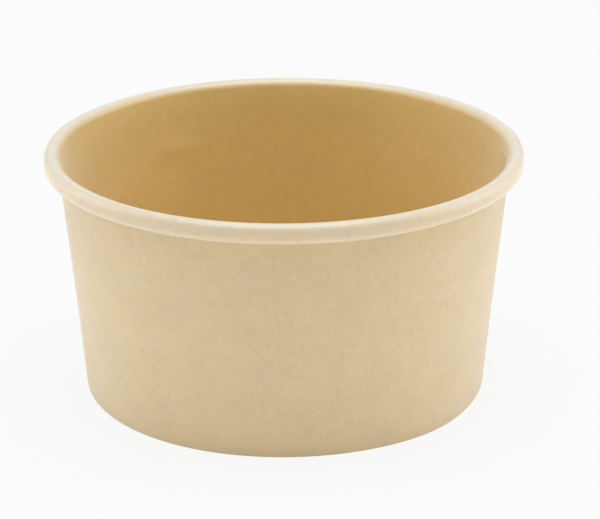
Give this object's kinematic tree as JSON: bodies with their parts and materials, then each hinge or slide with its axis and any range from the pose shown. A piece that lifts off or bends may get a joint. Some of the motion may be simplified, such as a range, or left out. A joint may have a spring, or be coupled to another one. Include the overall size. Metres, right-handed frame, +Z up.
{
  "type": "paper ice cream tub",
  "caption": "Round tapered paperboard tub for ice cream, open at the top, with a rolled rim, a lapped side seam and a recessed bottom disc held in a folded foot.",
  "frame": {"origin": "centre of the foot ring, on the plane that the tub stands on", "axes": "+Z up along the tub's axis, towards the open mouth; +X towards the side seam, which lies 4 to 17 degrees round from it towards +Y"},
  "size_m": [0.087, 0.087, 0.045],
  "materials": {
    "wall_board": "uncoated kraft paperboard outside, thin satin food-safe film inside and over the rolled rim",
    "base_board": "kraft paperboard with a thin satin food-safe film on the upper side"
  },
  "bodies": {
    "root": {"side_wall": "wall_board", "bottom_disc": "base_board"}
  },
  "joints": []
}
